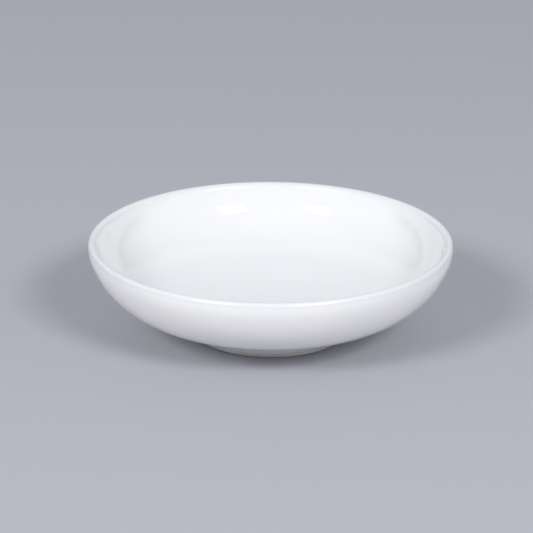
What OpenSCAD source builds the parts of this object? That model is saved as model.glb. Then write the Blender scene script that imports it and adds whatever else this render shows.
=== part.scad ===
// Soy sauce dish: a small white porcelain saucer with a rounded lip and a foot ring.
// Millimetres. The origin is on the table at the middle of the foot ring, and +Z is up.
// Each profile is a row of arcs that meet smoothly and is turned about Z. The sizes given are those
// of the glazed dish, and the fired clay lies below its surface by the thickness of the glaze.

/* [Rim] */
// Diameter across the outside of the lip
rim_d = 100; // [90:1:110]
// Height of the dish, from the table to the crest of the lip
dish_h = 26.6; // [24:0.2:30]
// Rounding of the lip outside its crest
lip_outer_r = 0.95; // [0.8:0.05:1.2]
// Rounding of the lip inside its crest, which is softer
lip_inner_r = 1.6; // [1.3:0.1:2]
// Radius of the shoulder, a soft curve on the outside that leads up to the lip
shoulder_r = 8; // [6:0.5:10]
// Lean of the shoulder's top, in degrees, which draws the lip in a little
shoulder_lean = 6; // [3:1:9]

/* [Bowl] */
// Radius of the shallow curve on the outside, which rises from the foot
crown_r = 113; // [100:1:130]
// Radius of the tighter curve on the outside, which turns the wall upright
knuckle_r = 23; // [21:0.1:25]
// Radius of the shallow curve on the inside, which is the floor of the well
well_r = 130; // [115:1:150]
// Thickness through the middle of the floor
floor_t = 3.5; // [2.8:0.1:4.5]
// Amount by which the inside turn is tighter than the knuckle, which gives the wall its thickness
turn_inset = 3.5; // [3:0.1:4]

/* [Foot] */
// Diameter of the foot ring at the table
foot_d = 43; // [36:0.2:48]
// Height of the foot ring's outer side, from the table to the bowl
foot_h = 4.4; // [3.8:0.1:6]
// Width of the foot ring at the table
foot_w = 3.4; // [2.8:0.1:5]
// Lean of the foot ring's outer side, in degrees, which narrows it towards the table
foot_lean = 4; // [0:1:10]
// Slope of the foot ring's inner side, in degrees, which thickens it towards the bowl
foot_slope = 15; // [5:1:25]
// Rounding of the two bare edges that stand on the table
foot_edge_r = 0.6; // [0.3:0.1:0.9]

/* [Glaze] */
// Thickness of the glaze
glaze_t = 0.25; // [0.15:0.05:0.4]
// Radius to which glaze fills the two corners between the foot ring and the bowl
pool_r = 1; // [0.5:0.1:1.4]
// Height of bare clay, wiped clean before firing, at the bottom of the foot ring
wipe_h = 1.1; // [1:0.1:1.5]
// Height over which the glaze thins to nothing at the wiped edge
wipe_taper = 0.3; // [0.1:0.1:0.5]

/* [Hidden] */
clay_white = [0.93, 0.92, 0.89];
glaze_white = [0.95, 0.96, 0.98];

// Faces round the dish, and straight steps in each kind of arc
$fn = 180;
crown_steps = 10;
turn_steps = 24;
shoulder_steps = 8;
lip_steps = 10;
corner_steps = 8;

// Directions round an arc, in degrees from straight down and positive outwards
down = 0;
outwards = 90;
up = 180;
inwards = 270;

// The lip: two arcs that meet at the crest, with their centres straight below it. The shoulder runs into
// the outer one and is the widest part of the dish.
shoulder_end = outwards + shoulder_lean;
shoulder_reach = (shoulder_r - lip_outer_r) * toward(shoulder_end);
crest_p = [rim_d / 2 - shoulder_r + shoulder_reach.x, dish_h];
lip_outer_c = crest_p + lip_outer_r * toward(down);
lip_inner_c = crest_p + lip_inner_r * toward(down);
shoulder_c = lip_outer_c - shoulder_reach;

// The outside: the crown's centre is on the axis, at the height that puts the foot's top on the crown
foot_r = foot_d / 2;
foot_top_r = foot_r + foot_h * tan(foot_lean);
crown_c = [0, foot_h + sqrt(crown_r * crown_r - foot_top_r * foot_top_r)];
crown_end = handover(crown_c, shoulder_c, crown_r - knuckle_r, knuckle_r - shoulder_r);
knuckle_c = crown_c + (crown_r - knuckle_r) * toward(crown_end);
knuckle_end = heading(knuckle_c, shoulder_c);

// The inside: the floor's centre is on the axis too, and the turn runs up into the lip
turn_r = knuckle_r - turn_inset;
well_c = [0, crown_c.y - crown_r + floor_t + well_r];
well_end = handover(well_c, lip_inner_c, well_r - turn_r, turn_r + lip_inner_r);
turn_c = well_c + (well_r - turn_r) * toward(well_end);
turn_end = heading(turn_c, lip_inner_c);

// The foot ring's sides at the table, and how much each moves outwards for each millimetre of height
outer_lean = tan(foot_lean);
inner_lean = -tan(foot_slope);
outer_clay_r = foot_r - glaze_t / cos(foot_lean);
inner_r = foot_r - foot_w;
inner_clay_r = inner_r + glaze_t / cos(foot_slope);

// Where the foot ring's clay meets the bowl's clay
outer_corner = side_meets_crown(outer_clay_r, outer_lean, crown_r - glaze_t);
inner_corner = side_meets_crown(inner_clay_r, inner_lean, crown_r - glaze_t);
outer_corner_end = heading(crown_c, outer_corner);
inner_corner_end = heading(crown_c, inner_corner);

// Centres of the glaze that rounds off those corners, and where it leaves the crown
outer_pool_c = side_meets_crown(foot_r + pool_r / cos(foot_lean), outer_lean, crown_r + pool_r);
inner_pool_c = side_meets_crown(inner_r - pool_r / cos(foot_slope), inner_lean, crown_r + pool_r);
outer_pool_end = heading(crown_c, outer_pool_c);
inner_pool_end = heading(crown_c, inner_pool_c);

// Centres of the rounded edges that stand on the table
outer_edge_c = on_side(outer_clay_r - foot_edge_r / cos(foot_lean), outer_lean, foot_edge_r);
inner_edge_c = on_side(inner_clay_r + foot_edge_r / cos(foot_slope), inner_lean, foot_edge_r);

// Unit step in a direction, and the direction from one point to another
function toward(angle) = [sin(angle), -cos(angle)];
function heading(from, to) = atan2(to.x - from.x, from.y - to.y);

// Direction in which an arc about c hands over to a turn that runs into an arc about goal, when the
// turn's centre is reach away from c and near is its distance from goal
function handover(c, goal, reach, near) =
    let (far = norm(goal - c))
    heading(c, goal) - acos((reach * reach + far * far - near * near) / (2 * reach * far));

// Point at height z on a side of the foot ring that starts at radius r on the table
function on_side(r, lean, z) = [r + lean * z, z];

// The lower point at which such a side crosses a circle about the crown's centre
function side_meets_crown(r, lean, circle_r) =
    let (
        a = 1 + lean * lean,
        b = crown_c.y - r * lean,
        c = r * r + crown_c.y * crown_c.y - circle_r * circle_r
    )
    on_side(r, lean, (b - sqrt(b * b - a * c)) / a);

// Points along an arc, without its last point, which is the first point of what follows
function arc(c, r, from, to, steps) =
    [for (i = [0 : steps - 1]) c + r * toward(from + (to - from) * i / steps)];
function reversed(points) = [for (i = [len(points) - 1 : -1 : 0]) points[i]];

// Stretches of the bowl's profile, sunk below the glazed surface by the depth given
function crown(from, to, sunk) = arc(crown_c, crown_r - sunk, from, to, crown_steps);
function outer_wall(sunk) = concat(
    arc(knuckle_c, knuckle_r - sunk, crown_end, knuckle_end, turn_steps),
    arc(shoulder_c, shoulder_r - sunk, knuckle_end, shoulder_end, shoulder_steps),
    arc(lip_outer_c, lip_outer_r - sunk, shoulder_end, up, lip_steps)
);
function crest(sunk) = [crest_p + sunk * toward(down)];
function inner_wall(sunk) = concat(
    arc(lip_inner_c, lip_inner_r - sunk, up, up + turn_end, lip_steps),
    arc(turn_c, turn_r + sunk, turn_end, well_end, turn_steps),
    arc(well_c, well_r + sunk, well_end, down, crown_steps),
    [well_c + (well_r + sunk) * toward(down)]
);

// A dish of clay, thrown and turned, with no foot of its own
module body() {
    color(clay_white)
        rotate_extrude()
            polygon(concat(
                crown(down, inner_corner_end, glaze_t),
                crown(inner_corner_end, outer_corner_end, glaze_t),
                crown(outer_corner_end, crown_end, glaze_t),
                outer_wall(glaze_t),
                inner_wall(glaze_t)
            ));
}

// A ring of clay luted under the dish, which stands on its bare lower edge
module foot_ring() {
    color(clay_white)
        rotate_extrude()
            polygon(concat(
                arc(outer_edge_c, foot_edge_r, outwards - foot_lean, down, corner_steps),
                [outer_edge_c + foot_edge_r * toward(down)],
                arc(inner_edge_c, foot_edge_r, 2 * up, inwards + foot_slope, corner_steps),
                [inner_edge_c + foot_edge_r * toward(inwards + foot_slope)],
                crown(inner_corner_end, outer_corner_end, glaze_t),
                [outer_corner]
            ));
}

// The glaze poured into the dish, from the middle of the floor to the crest of the lip
module inside_glaze() {
    color(glaze_white)
        rotate_extrude()
            polygon(concat(inner_wall(0), reversed(inner_wall(glaze_t))));
}

// The glaze on the outside, from the crest of the lip down to the wiped edge on the foot
module outside_glaze() {
    glazed = concat(
        [on_side(foot_r, outer_lean, wipe_h + wipe_taper)],
        arc(outer_pool_c, pool_r, inwards - foot_lean, up + outer_pool_end, corner_steps),
        crown(outer_pool_end, crown_end, 0),
        outer_wall(0),
        crest(0)
    );
    clay = concat(
        [on_side(outer_clay_r, outer_lean, wipe_h)],
        crown(outer_corner_end, crown_end, glaze_t),
        outer_wall(glaze_t),
        crest(glaze_t)
    );
    color(glaze_white)
        rotate_extrude()
            polygon(concat(glazed, reversed(clay)));
}

// The glaze under the dish, inside the foot ring and down to its wiped edge
module base_glaze() {
    glazed = concat(
        crown(down, inner_pool_end, 0),
        arc(inner_pool_c, pool_r, up + inner_pool_end, outwards + foot_slope, corner_steps),
        [inner_pool_c + pool_r * toward(outwards + foot_slope)],
        [on_side(inner_r, inner_lean, wipe_h + wipe_taper)]
    );
    clay = concat(
        crown(down, inner_corner_end, glaze_t),
        [inner_corner],
        [on_side(inner_clay_r, inner_lean, wipe_h)]
    );
    color(glaze_white)
        rotate_extrude()
            polygon(concat(glazed, reversed(clay)));
}

body();
foot_ring();
inside_glaze();
outside_glaze();
base_glaze();
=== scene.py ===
# %% [markdown]
# # A soy sauce dish
#
# This lesson dresses a small white porcelain dish. The CAD model gives its sizes, and Blender gives it
# smooth surfaces, glaze, bare clay, a floor, light and a camera. Lengths are in metres, +Z is up, and
# the origin is on the table under the middle of the dish.

# %% Load the frame
import math

import bmesh
import bpy
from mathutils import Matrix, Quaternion, Vector


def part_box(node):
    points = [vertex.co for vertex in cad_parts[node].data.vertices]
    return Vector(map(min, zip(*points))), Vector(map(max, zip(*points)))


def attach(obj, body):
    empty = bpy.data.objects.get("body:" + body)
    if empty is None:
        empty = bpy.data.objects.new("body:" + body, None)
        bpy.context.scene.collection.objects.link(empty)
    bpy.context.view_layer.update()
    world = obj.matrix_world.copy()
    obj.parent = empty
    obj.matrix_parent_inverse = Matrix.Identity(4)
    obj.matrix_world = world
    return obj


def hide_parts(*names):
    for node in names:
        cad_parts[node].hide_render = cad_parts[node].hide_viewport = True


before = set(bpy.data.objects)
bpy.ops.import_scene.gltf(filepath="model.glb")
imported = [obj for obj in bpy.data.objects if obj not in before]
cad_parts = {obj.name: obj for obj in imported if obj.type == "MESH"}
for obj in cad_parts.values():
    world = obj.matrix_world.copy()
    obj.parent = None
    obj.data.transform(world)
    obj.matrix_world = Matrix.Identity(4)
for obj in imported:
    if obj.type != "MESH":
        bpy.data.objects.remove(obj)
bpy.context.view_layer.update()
print("nodes:", sorted(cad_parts))

# %% [markdown]
# ## The sizes of the dish
#
# A dish like this is drawn with a compass: every stretch of its profile is an arc, and each arc runs
# smoothly into the next. The overall sizes are read from the CAD model. The radii can't be read from a
# mesh, so they are written here again, as in the CAD source.

# %% Driving sizes
MM = 0.001

RIM_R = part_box("outside_glaze")[1].x
DISH_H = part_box("outside_glaze")[1].z
LIP_OUTER_R = 0.95 * MM
LIP_INNER_R = 1.6 * MM
SHOULDER_R = 8 * MM
SHOULDER_LEAN = 6
CROWN_R = 113 * MM
KNUCKLE_R = 23 * MM
WELL_R = 130 * MM
FLOOR_T = 3.5 * MM
TURN_INSET = 3.5 * MM
FOOT_R = 21.5 * MM
FOOT_H = 4.4 * MM
FOOT_W = 3.4 * MM
FOOT_LEAN = 4
FOOT_SLOPE = 15
FOOT_EDGE_R = 0.6 * MM
GLAZE_T = 0.25 * MM
POOL_R = 1.0 * MM
WIPE_H = 1.1 * MM
WIPE_TAPER = 0.3 * MM
print(f"rim {2 * RIM_R / MM:.1f} mm across, dish {DISH_H / MM:.1f} mm high")

# %% [markdown]
# ## Where the compass stands
#
# A point of the profile is a pair: the distance from the axis and the height. A direction is an angle
# in degrees from straight down, positive outwards, so 90 points away from the axis and 180 points up.
# The lip is two arcs that meet at its crest, with their centres straight below it. Outside, a shoulder
# of larger radius leads up to it, and leans in a little where they meet. The big arcs of the crown and
# the well have their centres on the axis. The knuckle touches the crown and the shoulder, and the inside
# turn touches the well and the lip, which fixes their centres by the cosine rule.

# %% Compass centres
DOWN, OUTWARDS, UP, INWARDS = 0, 90, 180, 270


def toward(direction):
    """A step of length one in a direction."""
    angle = math.radians(direction)
    return Vector((math.sin(angle), -math.cos(angle)))


def heading(start, end):
    """The direction from one point to another."""
    return math.degrees(math.atan2(end.x - start.x, start.y - end.y))


shoulder_end = OUTWARDS + SHOULDER_LEAN
shoulder_reach = (SHOULDER_R - LIP_OUTER_R) * toward(shoulder_end)
crest = Vector((RIM_R - SHOULDER_R + shoulder_reach.x, DISH_H))
lip_outer_c = crest + LIP_OUTER_R * toward(DOWN)
lip_inner_c = crest + LIP_INNER_R * toward(DOWN)
shoulder_c = lip_outer_c - shoulder_reach


def handover(centre, goal, reach, near):
    """Where an arc hands over to a turn that is this far from its centre and this near to a goal."""
    far = (goal - centre).length
    cosine = (reach * reach + far * far - near * near) / (2 * reach * far)
    return heading(centre, goal) - math.degrees(math.acos(cosine))


outer_lean = math.tan(math.radians(FOOT_LEAN))
inner_lean = -math.tan(math.radians(FOOT_SLOPE))
foot_top_r = FOOT_R + FOOT_H * outer_lean
crown_c = Vector((0, FOOT_H + math.sqrt(CROWN_R**2 - foot_top_r**2)))
crown_end = handover(crown_c, shoulder_c, CROWN_R - KNUCKLE_R, KNUCKLE_R - SHOULDER_R)
knuckle_c = crown_c + (CROWN_R - KNUCKLE_R) * toward(crown_end)
knuckle_end = heading(knuckle_c, shoulder_c)

turn_r = KNUCKLE_R - TURN_INSET
well_c = Vector((0, crown_c.y - CROWN_R + FLOOR_T + WELL_R))
well_end = handover(well_c, lip_inner_c, WELL_R - turn_r, turn_r + LIP_INNER_R)
turn_c = well_c + (WELL_R - turn_r) * toward(well_end)
turn_end = heading(turn_c, lip_inner_c)
print(f"the wall leans out by {OUTWARDS - knuckle_end:.1f} degrees below the shoulder")

# %% [markdown]
# ## The compass at the foot
#
# The foot ring has two straight sides, which lean a little. Where a side crosses a circle about the
# crown's centre, the height comes from a quadratic, and the lower of its two answers is the one under
# the dish. The same rule gives the corner of the clay and the centre of the glaze that fills it.

# %% Centres at the foot
slant = 1 / math.cos(math.radians(FOOT_LEAN))
inner_slant = 1 / math.cos(math.radians(FOOT_SLOPE))
inner_r = FOOT_R - FOOT_W
outer_clay_r = FOOT_R - GLAZE_T * slant
inner_clay_r = inner_r + GLAZE_T * inner_slant


def on_side(radius, lean, height):
    """The point at a height on a side that starts at this radius on the table."""
    return Vector((radius + lean * height, height))


def side_meets_crown(radius, lean, circle_r):
    """The lower point where such a side crosses a circle about the crown's centre."""
    a = 1 + lean * lean
    b = crown_c.y - radius * lean
    c = radius * radius + crown_c.y * crown_c.y - circle_r * circle_r
    return on_side(radius, lean, (b - math.sqrt(b * b - a * c)) / a)


outer_corner = side_meets_crown(outer_clay_r, outer_lean, CROWN_R - GLAZE_T)
inner_corner = side_meets_crown(inner_clay_r, inner_lean, CROWN_R - GLAZE_T)
outer_pool_c = side_meets_crown(FOOT_R + POOL_R * slant, outer_lean, CROWN_R + POOL_R)
inner_pool_c = side_meets_crown(inner_r - POOL_R * inner_slant, inner_lean, CROWN_R + POOL_R)
outer_edge_c = on_side(outer_clay_r - FOOT_EDGE_R * slant, outer_lean, FOOT_EDGE_R)
inner_edge_c = on_side(inner_clay_r + FOOT_EDGE_R * inner_slant, inner_lean, FOOT_EDGE_R)
print(f"the foot stands on {(outer_edge_c.x - inner_edge_c.x) / MM:.2f} mm of flat clay")

# %% [markdown]
# ## Drawing with a compass
#
# Spin is the compass of edit mode. Spinning a single point about an axis leaves a chain of edges behind
# it, which is an arc. So a profile starts as one point, made by merging a small plane, and the point is
# swung about one centre after another. A straight stretch is an extruded point.

# %% Compass and ruler
def pen_down(name, at):
    """Start a piece as one point, and stay in edit mode with that point selected."""
    bpy.ops.object.select_all(action="DESELECT")
    bpy.ops.mesh.primitive_plane_add(size=MM)
    piece = bpy.context.object
    piece.name = name
    piece.data.name = name
    bpy.ops.object.mode_set(mode="EDIT")
    bpy.ops.mesh.select_all(action="SELECT")
    bpy.ops.mesh.merge(type="CENTER")
    bpy.ops.transform.translate(value=(at.x, 0, at.y))
    return piece


def swing(centre, degrees, steps):
    """Swing the end of the line about a centre. Positive turns go from down to outwards to up."""
    middle = (centre.x, 0, centre.y)
    bpy.ops.mesh.spin(steps=steps, angle=math.radians(degrees), center=middle, axis=(0, 1, 0))


def line_to(at):
    """Draw a straight stretch from the end of the line to a point."""
    drawn = bmesh.from_edit_mesh(bpy.context.object.data)
    end = next(point.co for point in drawn.verts if point.select)
    step = (at.x - end.x, 0, at.y - end.z)
    bpy.ops.mesh.extrude_vertices_move(TRANSFORM_OT_translate={"value": step})


# %% [markdown]
# ## Turning on the wheel
#
# The same operator is also the potter's wheel: spinning the whole line once round the axis of the dish
# makes the surface. Its first and last seam lie on each other, and so do the points on the axis, so they
# are merged. Spin can leave faces inside out, so the normals are made to point outwards after that.
# Faces that meet at more than the smoothing angle keep a sharp edge between them.

# %% Wheel
WHEEL_STEPS = 288
WELD = 0.001 * MM
SMOOTH_ANGLE = math.radians(35)


def turn_on_wheel(piece):
    """Turn the drawn line into a closed solid and shade it smooth."""
    bpy.ops.mesh.select_all(action="SELECT")
    bpy.ops.mesh.spin(steps=WHEEL_STEPS, angle=math.tau, center=(0, 0, 0), axis=(0, 0, 1))
    bpy.ops.mesh.select_all(action="SELECT")
    bpy.ops.mesh.remove_doubles(threshold=WELD)
    bpy.ops.mesh.normals_make_consistent(inside=False)
    bpy.ops.object.mode_set(mode="OBJECT")
    bpy.ops.object.shade_smooth_by_angle(angle=SMOOTH_ANGLE)
    print(f"{piece.name}: {len(piece.data.polygons)} faces")


def stands_for(piece, node):
    """The piece moves with the dish and takes a CAD node's place."""
    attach(piece, "root")
    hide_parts(node)


# %% [markdown]
# ## Outside glaze
#
# The outside of the dish is dipped in glaze up to the crest of the lip, and the foot is then wiped
# clean. The coat is a thin closed shell: its line goes up the glazed face from the wiped edge to the
# crest, steps through the thickness of the glaze, and comes back down on the clay. Next to the crest
# there is one very short step, so that the shading there points straight up and no seam shows between
# this coat and the inside one. The hidden face takes fewer steps.

# %% Outside glaze
CROWN_STEPS = 24
TURN_STEPS = 44
SHOULDER_STEPS = 16
LIP_STEPS = 20
POOL_STEPS = 10
HIDDEN_STEPS = 16
CREST_DEG = 1.0

outer_pool_end = heading(crown_c, outer_pool_c)
pool_turn = (UP + outer_pool_end) - (INWARDS - FOOT_LEAN)

outside = pen_down("outside_glaze_coat", on_side(FOOT_R, outer_lean, WIPE_H + WIPE_TAPER))
line_to(outer_pool_c + POOL_R * toward(INWARDS - FOOT_LEAN))
swing(outer_pool_c, pool_turn, POOL_STEPS)
swing(crown_c, crown_end - outer_pool_end, CROWN_STEPS)
swing(knuckle_c, knuckle_end - crown_end, TURN_STEPS)
swing(shoulder_c, shoulder_end - knuckle_end, SHOULDER_STEPS)
swing(lip_outer_c, UP - CREST_DEG - shoulder_end, LIP_STEPS)
swing(lip_outer_c, CREST_DEG, 1)
line_to(crest + GLAZE_T * toward(DOWN))
swing(lip_outer_c, shoulder_end - UP, HIDDEN_STEPS)
swing(shoulder_c, knuckle_end - shoulder_end, HIDDEN_STEPS)
swing(knuckle_c, crown_end - knuckle_end, HIDDEN_STEPS)
swing(crown_c, heading(crown_c, outer_corner) - crown_end, HIDDEN_STEPS)
line_to(on_side(outer_clay_r, outer_lean, WIPE_H))
line_to(on_side(FOOT_R, outer_lean, WIPE_H + WIPE_TAPER))
turn_on_wheel(outside)
stands_for(outside, "outside_glaze")

# %% [markdown]
# ## Inside glaze
#
# The inside is glazed by pouring. Its line starts on the axis at the bottom of the well, runs up the
# wall to the crest, and comes back under the glaze to the axis, so the turned coat is closed.

# %% Inside glaze
WELL_STEPS = 32

inside = pen_down("inside_glaze_coat", well_c + WELL_R * toward(DOWN))
swing(well_c, well_end, WELL_STEPS)
swing(turn_c, turn_end - well_end, TURN_STEPS)
swing(lip_inner_c, CREST_DEG - turn_end, LIP_STEPS)
swing(lip_inner_c, -CREST_DEG, 1)
line_to(crest + GLAZE_T * toward(DOWN))
swing(lip_inner_c, turn_end, HIDDEN_STEPS)
swing(turn_c, well_end - turn_end, HIDDEN_STEPS)
swing(well_c, -well_end, HIDDEN_STEPS)
turn_on_wheel(inside)
stands_for(inside, "inside_glaze")

# %% [markdown]
# ## Base glaze
#
# Under the dish the glaze covers the round inside the foot ring and runs down the ring's inner side to
# the wiped edge. It fills the corner there with the same soft round as outside.

# %% Base glaze
inner_pool_end = heading(crown_c, inner_pool_c)
inner_pool_turn = (OUTWARDS + FOOT_SLOPE) - (UP + inner_pool_end)

base = pen_down("base_glaze_coat", crown_c + CROWN_R * toward(DOWN))
swing(crown_c, inner_pool_end, CROWN_STEPS)
swing(inner_pool_c, inner_pool_turn, POOL_STEPS)
line_to(on_side(inner_r, inner_lean, WIPE_H + WIPE_TAPER))
line_to(on_side(inner_clay_r, inner_lean, WIPE_H))
line_to(inner_corner)
swing(crown_c, -heading(crown_c, inner_corner), HIDDEN_STEPS)
turn_on_wheel(base)
stands_for(base, "base_glaze")

# %% [markdown]
# ## Foot ring
#
# The ring that the dish stands on is bare at the bottom, because glaze would stick it to the kiln shelf.
# Its two lower edges are rounded by the sponge that wipes it, and its top follows the underside of the
# bowl.

# %% Foot ring
EDGE_STEPS = 12

ring = pen_down("foot_ring_clay", outer_corner)
line_to(outer_edge_c + FOOT_EDGE_R * toward(OUTWARDS - FOOT_LEAN))
swing(outer_edge_c, FOOT_LEAN - OUTWARDS, EDGE_STEPS)
line_to(inner_edge_c + FOOT_EDGE_R * toward(DOWN))
swing(inner_edge_c, FOOT_SLOPE - OUTWARDS, EDGE_STEPS)
line_to(inner_corner)
swing(crown_c, heading(crown_c, outer_corner) - heading(crown_c, inner_corner), HIDDEN_STEPS)
turn_on_wheel(ring)
stands_for(ring, "foot_ring")

# %% [markdown]
# ## Helpers for materials
#
# Each finish is a small graph of nodes. All patterns read Object coordinates, which are metres on this
# dish, so a noise scale of 100 has features about 10 mm wide. A noise runs from 0 to 1 but keeps near the
# middle, so it is stretched before use. The Mix node has sockets for every kind of data, several of them
# with the same name, so those for colours are picked by number.

# %% Node helpers
NOISE_MOST = (0.35, 0.65)
NOISE_NEARLY_ALL = (0.3, 0.7)
FIRST_COLOUR, SECOND_COLOUR, MIXED_COLOUR = 6, 7, 2


def new_finish(name):
    """A material with its node list, its links and its shader."""
    material = bpy.data.materials.new(name)
    material.use_nodes = True
    tree = material.node_tree
    return material, tree.nodes, tree.links, tree.nodes["Principled BSDF"]


def place_and_height(nodes, links):
    """The Object coordinates of the piece, and their height above the table."""
    place = nodes.new("ShaderNodeTexCoord").outputs["Object"]
    parts = nodes.new("ShaderNodeSeparateXYZ")
    links.new(place, parts.inputs["Vector"])
    return place, parts.outputs["Z"]


def noise(nodes, links, coordinates, scale, detail):
    """A noise pattern on the coordinates given, as a value from 0 to 1."""
    texture = nodes.new("ShaderNodeTexNoise")
    texture.inputs["Scale"].default_value = scale
    texture.inputs["Detail"].default_value = detail
    links.new(coordinates, texture.inputs["Vector"])
    return texture.outputs["Fac"]


def spread(nodes, links, value, low, high, out_low, out_high):
    """Stretch a value from one range to another, and hold it at the ends."""
    ranged = nodes.new("ShaderNodeMapRange")
    ranged.inputs["From Min"].default_value = low
    ranged.inputs["From Max"].default_value = high
    ranged.inputs["To Min"].default_value = out_low
    ranged.inputs["To Max"].default_value = out_high
    links.new(value, ranged.inputs["Value"])
    return ranged.outputs["Result"]


def blend_colours(nodes, links, share, first, second):
    """Mix two colours. Each is a plain colour or the output of another node."""
    mix = nodes.new("ShaderNodeMix")
    mix.data_type = "RGBA"
    links.new(share, mix.inputs["Factor"])
    for number, colour in ((FIRST_COLOUR, first), (SECOND_COLOUR, second)):
        if isinstance(colour, tuple):
            mix.inputs[number].default_value = (*colour, 1)
        else:
            links.new(colour, mix.inputs[number])
    return mix.outputs[MIXED_COLOUR]


def product(nodes, links, first, second):
    """Two values multiplied."""
    maths = nodes.new("ShaderNodeMath")
    maths.operation = "MULTIPLY"
    links.new(first, maths.inputs[0])
    links.new(second, maths.inputs[1])
    return maths.outputs["Value"]


def bumps(nodes, links, height, depth, below=None):
    """Relief of this depth in metres from a height of 0 to 1, on top of another relief."""
    bump = nodes.new("ShaderNodeBump")
    bump.inputs["Strength"].default_value = 1
    bump.inputs["Distance"].default_value = depth
    links.new(height, bump.inputs["Height"])
    if below is not None:
        links.new(below, bump.inputs["Normal"])
    return bump.outputs["Normal"]


# %% [markdown]
# ## Glazed porcelain
#
# White porcelain under a clear glaze is a bright matt white with a smooth glassy skin over it. The
# shader's own gloss is that skin. Real glaze isn't perfect: its white drifts a little, it has a slow
# ripple that bends reflections, and here and there a pinhole or a speck. Inside and outside are one
# glaze, but the outside and underside are painted a lighter white, as painted light, and the inside a
# darker one, as painted shade. Near the lip the outside blends into the inside's white, as painted
# shade on the lip. The crest is painted a still darker white, as painted shade, and is also rubbed a
# little dull. In the corner over the foot the glaze is made faintly grey. The turning tool leaves fine
# rings in the clay, which the glaze drowns except under the dish.

# %% Glaze
# One glaze, painted apart: the inside white is darker, as painted shade, and the outside white lighter, as
# painted light
WHITE_WITH_PAINTED_SHADE = (0.835, 0.835, 0.846)
WHITE_WITH_PAINTED_LIGHT = (0.945, 0.938, 0.926)
SHADE = 0.98
DRIFT_SCALE = 30
# A faint grey for the corner over the foot
FOOT_CORNER_GREY = (0.93, 0.93, 0.92)
FOOT_CORNER_SHARE = 0.6
# Where the painted shade at the lip begins
LIP_SHADE_FROM = DISH_H - 4 * MM
# Painted shade on the crest, a darker white, over the same heights where the crest is rougher
CREST_PAINTED_SHADE = (0.80, 0.80, 0.812)
RUBBED_AND_SHADED_FROM, RUBBED_AND_SHADED_FULL = DISH_H - 1.6 * MM, DISH_H - 0.6 * MM
RUBBED_ROUGHNESS = 0.17
SPECK = (0.45, 0.43, 0.40)
SPECKS = {"scale": 150, "radius": 0.035, "share": 0.02}
PINHOLES = {"scale": 420, "radius": 0.06, "share": 0.03}
PINHOLE_DEPTH = 0.02 * MM
HAZE_SCALE = 90
GLOSS_ROUGHNESS = (0.03, 0.07)
RIPPLE_SCALE = 110
RIPPLE_DEPTH = 0.02 * MM
GLAZE_IOR = 1.52
RING_SPACING = 1.3 * MM
RING_WANDER = 0.8
FINE_RINGS = 0.0004 * MM
TOOL_RINGS = 0.008 * MM

# The part of a dot's radius inside which it is full, and the step between a cell with a dot and one without
DOT_CORE = 0.6
CHOICE_STEP = 0.001

# Radians that a wave texture turns in a metre at a scale of 1
WAVE_RADIANS = 20


def specks(nodes, links, coordinates, scale, radius, share):
    """Small round dots in a few of the cells of a Voronoi pattern, as a value of 0 or 1."""
    cells = nodes.new("ShaderNodeTexVoronoi")
    cells.inputs["Scale"].default_value = scale
    links.new(coordinates, cells.inputs["Vector"])
    near = spread(nodes, links, cells.outputs["Distance"], radius, radius * DOT_CORE, 0, 1)
    chance = nodes.new("ShaderNodeSeparateColor")
    links.new(cells.outputs["Color"], chance.inputs["Color"])
    limit = 1 - share
    chosen = spread(nodes, links, chance.outputs["Red"], limit, limit + CHOICE_STEP, 0, 1)
    return product(nodes, links, near, chosen)


def turning_rings(nodes, links, coordinates, spacing):
    """Rings about the axis of the dish, this far apart and a little unsteady, as a height of 0 to 1."""
    texture = nodes.new("ShaderNodeTexWave")
    texture.wave_type = "RINGS"
    texture.rings_direction = "Z"
    texture.inputs["Scale"].default_value = math.tau / (WAVE_RADIANS * spacing)
    texture.inputs["Distortion"].default_value = RING_WANDER
    links.new(coordinates, texture.inputs["Vector"])
    return texture.outputs["Fac"]


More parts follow.
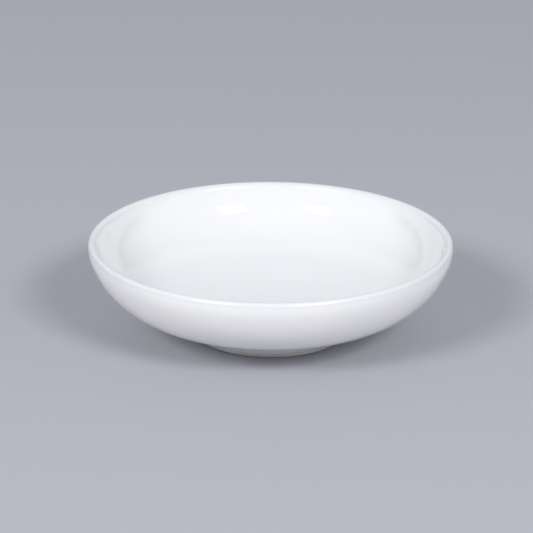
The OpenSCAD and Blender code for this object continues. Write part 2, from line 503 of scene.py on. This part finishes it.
def glaze_finish(name, coat, ring_depth):
    """White porcelain under clear glaze in this painted white, with painted shade towards the lip and on
    the crest.
    """
    material, nodes, links, shader = new_finish(name)
    place, height = place_and_height(nodes, links)

    drift = spread(nodes, links, noise(nodes, links, place, DRIFT_SCALE, detail=3), *NOISE_MOST, 0, 1)
    shaded = tuple(SHADE * part for part in coat)
    white = blend_colours(nodes, links, drift, shaded, coat)
    # Near the lip the white blends into the darker inside white, as painted shade on the lip
    lip_shade = spread(nodes, links, height, LIP_SHADE_FROM, DISH_H, 0, 1)
    lip_shaded = blend_colours(nodes, links, lip_shade, white, WHITE_WITH_PAINTED_SHADE)
    # The crest is painted darker, as painted shade, and the same mask makes it rougher
    rubbed_and_shaded = spread(nodes, links, height, RUBBED_AND_SHADED_FROM, RUBBED_AND_SHADED_FULL, 0, 1)
    crest_shaded = blend_colours(nodes, links, rubbed_and_shaded, lip_shaded, CREST_PAINTED_SHADE)
    # The glaze is made faintly grey and a little darker in the corner over the foot
    foot_corner = spread(nodes, links, height, FOOT_H + POOL_R, FOOT_H - POOL_R, 0, FOOT_CORNER_SHARE)
    tinted = blend_colours(nodes, links, foot_corner, crest_shaded, FOOT_CORNER_GREY)
    dots = specks(nodes, links, place, **SPECKS)
    links.new(blend_colours(nodes, links, dots, tinted, SPECK), shader.inputs["Base Color"])

    haze = noise(nodes, links, place, HAZE_SCALE, detail=2)
    gloss = spread(nodes, links, haze, *NOISE_NEARLY_ALL, *GLOSS_ROUGHNESS)
    roughness = nodes.new("ShaderNodeMath")
    roughness.operation = "MULTIPLY_ADD"
    roughness.inputs[1].default_value = RUBBED_ROUGHNESS
    links.new(rubbed_and_shaded, roughness.inputs[0])
    links.new(gloss, roughness.inputs[2])
    links.new(roughness.outputs["Value"], shader.inputs["Roughness"])

    rings = bumps(nodes, links, turning_rings(nodes, links, place, RING_SPACING), ring_depth)
    waves = noise(nodes, links, place, RIPPLE_SCALE, detail=1)
    ripple = bumps(nodes, links, waves, RIPPLE_DEPTH, rings)
    pinholes = specks(nodes, links, place, **PINHOLES)
    links.new(bumps(nodes, links, pinholes, -PINHOLE_DEPTH, ripple), shader.inputs["Normal"])
    shader.inputs["IOR"].default_value = GLAZE_IOR
    return material


outside.data.materials.append(glaze_finish("outside glaze", WHITE_WITH_PAINTED_LIGHT, FINE_RINGS))
inside.data.materials.append(glaze_finish("inside glaze", WHITE_WITH_PAINTED_SHADE, FINE_RINGS))
base.data.materials.append(glaze_finish("base glaze", WHITE_WITH_PAINTED_LIGHT, TOOL_RINGS))
print("glazed:", outside.name, inside.name, base.name)

# %% [markdown]
# ## Bare clay
#
# The wiped foot is fired porcelain with no glaze: matt, finely grained and a little warmer than the
# glaze. Its lowest edge is grey, partly from scuffs where it slides on the table and partly as painted
# shade where it meets the table. The clay of the bowl is the same stuff, but it is hidden under the
# glaze all over, so the CAD node stays and only gets this finish.

# %% Bare clay
CLAY = (0.86, 0.84, 0.79)
DUSTY_CLAY = (0.78, 0.76, 0.71)
PATCH_SCALE = 120
# Grey along the bottom edge: scuffs, and painted shade at the contact with the table
SCUFF_AND_CONTACT_SHADE = (0.42, 0.41, 0.40)
SCUFF_AND_SHADE_HEIGHT = 0.6 * MM
SCUFF_AND_SHADE_SHARE = (0.3, 0.8)
STREAK_SCALE = 400
CLAY_ROUGHNESS = (0.6, 0.8)
GRAIN_SCALE = 1800
GRAIN_DEPTH = 0.03 * MM


def clay_finish(name):
    """Fired porcelain with no glaze, grey where it meets the table from scuffs and painted shade."""
    material, nodes, links, shader = new_finish(name)
    place, height = place_and_height(nodes, links)

    patches = noise(nodes, links, place, PATCH_SCALE, detail=3)
    clean = spread(nodes, links, patches, *NOISE_MOST, 0, 1)
    wiped = blend_colours(nodes, links, clean, DUSTY_CLAY, CLAY)
    # Grey streaks low on the foot stand for scuffs and for painted shade where it meets the table
    low = spread(nodes, links, height, SCUFF_AND_SHADE_HEIGHT, 0, 0, 1)
    streaks = noise(nodes, links, place, STREAK_SCALE, detail=5)
    worn_and_shaded = product(nodes, links, low, spread(nodes, links, streaks, *NOISE_MOST, *SCUFF_AND_SHADE_SHARE))
    links.new(blend_colours(nodes, links, worn_and_shaded, wiped, SCUFF_AND_CONTACT_SHADE), shader.inputs["Base Color"])

    roughness = spread(nodes, links, patches, *NOISE_NEARLY_ALL, *CLAY_ROUGHNESS)
    links.new(roughness, shader.inputs["Roughness"])
    grain = noise(nodes, links, place, GRAIN_SCALE, detail=4)
    links.new(bumps(nodes, links, grain, GRAIN_DEPTH), shader.inputs["Normal"])
    return material


clay = clay_finish("bare clay")
ring.data.materials.append(clay)
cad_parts["body"].material_slots[0].material = clay
print("bare clay:", ring.name)

# %% [markdown]
# ## The floor
#
# The dish stands on a plain blue-grey paper. It is far larger than the view, so no edge shows.

# %% Floor
FLOOR_SIZE = 12
PAPER = (0.475, 0.475, 0.517)
PAPER_ROUGHNESS = 0.9
PAPER_GLOSS = 0.1

bpy.ops.object.select_all(action="DESELECT")
bpy.ops.mesh.primitive_plane_add(size=FLOOR_SIZE)
floor = bpy.context.object
floor.name = "floor"
paper, _, _, paper_shader = new_finish("grey paper")
paper_shader.inputs["Base Color"].default_value = (*PAPER, 1)
paper_shader.inputs["Roughness"].default_value = PAPER_ROUGHNESS
paper_shader.inputs["Specular IOR Level"].default_value = PAPER_GLOSS
floor.data.materials.append(paper)
print("floor:", floor.name)

# %% [markdown]
# ## The light
#
# Two softboxes stand in front of the dish, one to each side of the camera, and a large pale screen leans
# in from behind. An azimuth is measured in degrees from the camera's side of the dish, positive to the
# right, and an elevation from the table. A lamp's power is worked out from how bright it should make a
# white card that faces it.

# %% Lamps
LEFT_BOX = {"azimuth": -37.1, "elevation": 34.6, "brightness": 0.436}
RIGHT_BOX = {"azimuth": 30.4, "elevation": 35.7, "brightness": 0.458}
BOX_SIZE = (0.49, 0.33)
BOX_DISTANCE = 1.6
SCREEN = {"azimuth": 180, "elevation": 44, "brightness": 0.182}
SCREEN_SIZE = (2.4, 2.0)
SCREEN_DISTANCE = 2.0


def soft_lamp(name, distance, size, azimuth, elevation, brightness):
    """A soft lamp that looks at the dish and lights a white card there to this brightness."""
    side = math.radians(azimuth)
    rise = math.radians(elevation)
    away = Vector((math.sin(side) * math.cos(rise), -math.cos(side) * math.cos(rise), math.sin(rise)))
    bpy.ops.object.light_add(type="AREA", location=away * distance)
    lamp = bpy.context.object
    lamp.name = name
    lamp.rotation_mode = "QUATERNION"
    lamp.rotation_quaternion = away.to_track_quat("Z", "Y")
    lamp.data.shape = "RECTANGLE"
    lamp.data.size, lamp.data.size_y = size
    lamp.data.energy = brightness * math.pi**2 * distance**2
    lamp.visible_camera = False
    print(f"{name}: {lamp.data.energy:.0f} W")


soft_lamp("left softbox", BOX_DISTANCE, BOX_SIZE, **LEFT_BOX)
soft_lamp("right softbox", BOX_DISTANCE, BOX_SIZE, **RIGHT_BOX)
soft_lamp("back screen", SCREEN_DISTANCE, SCREEN_SIZE, **SCREEN)

# %% [markdown]
# ## The room
#
# The room fills in the shadows: it is a dim grey in front and behind, and brighter to both sides, where
# there are pale walls. In the world's nodes, Generated coordinates are the direction looked in, with a
# length of one. The fourth power of its X part is 0 straight ahead and behind and 1 to both sides, and
# it rises late, so the walls stay narrow. Low down behind the dish, paper sweeps up in the middle and
# the corners beside it are dark. The bowl's inside mirrors this: where its reflection clears the far
# lip, a dark corner shows, and a faint line runs down both ends of the bowl.

# %% Room
ROOM = (0.217, 0.239, 0.274)
SIDE_WALLS = (1.3, 1.297, 1.298)
WALL_POWER = 4
SWEEP = (0.5, 0.5, 0.55)
DARK_CORNERS = (0.08, 0.08, 0.09)

# Where each part of the backdrop starts and where it is full: in the Z part of the direction, in its
# Y part, and in the fourth power of its X part
LOW_DOWN = (0.3, 0.15)
BEHIND = (0, 0.2)
ASIDE = (0.05, 0.15)

room = bpy.data.worlds.new("room")
room.use_nodes = True
nodes, links = room.node_tree.nodes, room.node_tree.links
direction = nodes.new("ShaderNodeSeparateXYZ")
links.new(nodes.new("ShaderNodeTexCoord").outputs["Generated"], direction.inputs["Vector"])
sideways = nodes.new("ShaderNodeMath")
sideways.operation = "POWER"
sideways.inputs[1].default_value = WALL_POWER
links.new(direction.outputs["X"], sideways.inputs[0])
walls = blend_colours(nodes, links, sideways.outputs["Value"], ROOM, SIDE_WALLS)
low = spread(nodes, links, direction.outputs["Z"], *LOW_DOWN, 0, 1)
behind = spread(nodes, links, direction.outputs["Y"], *BEHIND, 0, 1)
aside = spread(nodes, links, sideways.outputs["Value"], *ASIDE, 0, 1)
backdrop = blend_colours(nodes, links, aside, SWEEP, DARK_CORNERS)
round_about = blend_colours(nodes, links, product(nodes, links, low, behind), walls, backdrop)
links.new(round_about, nodes["Background"].inputs["Color"])
bpy.context.scene.world = room
print("room:", room.name)

# %% [markdown]
# ## The camera
#
# The camera looks down at the dish from the front with a long lens. Its distance and lens go together:
# twice as far with twice the lens gives nearly the same picture. It aims a little to the left of the
# axis and above the table, and it is turned by a quarter of a degree, as the picture is.

# %% Camera
AIM = Vector((-1.103, 0, 18.588)) * MM
CAMERA_DISTANCE = 800 * MM
CAMERA_ELEVATION = math.radians(20.28)
CAMERA_ROLL = math.radians(0.248)
LENS = 196.34
SENSOR = 36

back = Vector((0, -math.cos(CAMERA_ELEVATION), math.sin(CAMERA_ELEVATION)))
bpy.ops.object.camera_add(location=AIM + back * CAMERA_DISTANCE)
camera = bpy.context.object
camera.rotation_mode = "QUATERNION"
camera.rotation_quaternion = back.to_track_quat("Z", "Y") @ Quaternion((0, 0, 1), CAMERA_ROLL)
camera.data.lens = LENS
camera.data.sensor_width = SENSOR
bpy.context.scene.camera = camera
bpy.context.scene.view_settings.view_transform = "Standard"
print("camera at", [round(x, 3) for x in camera.location])
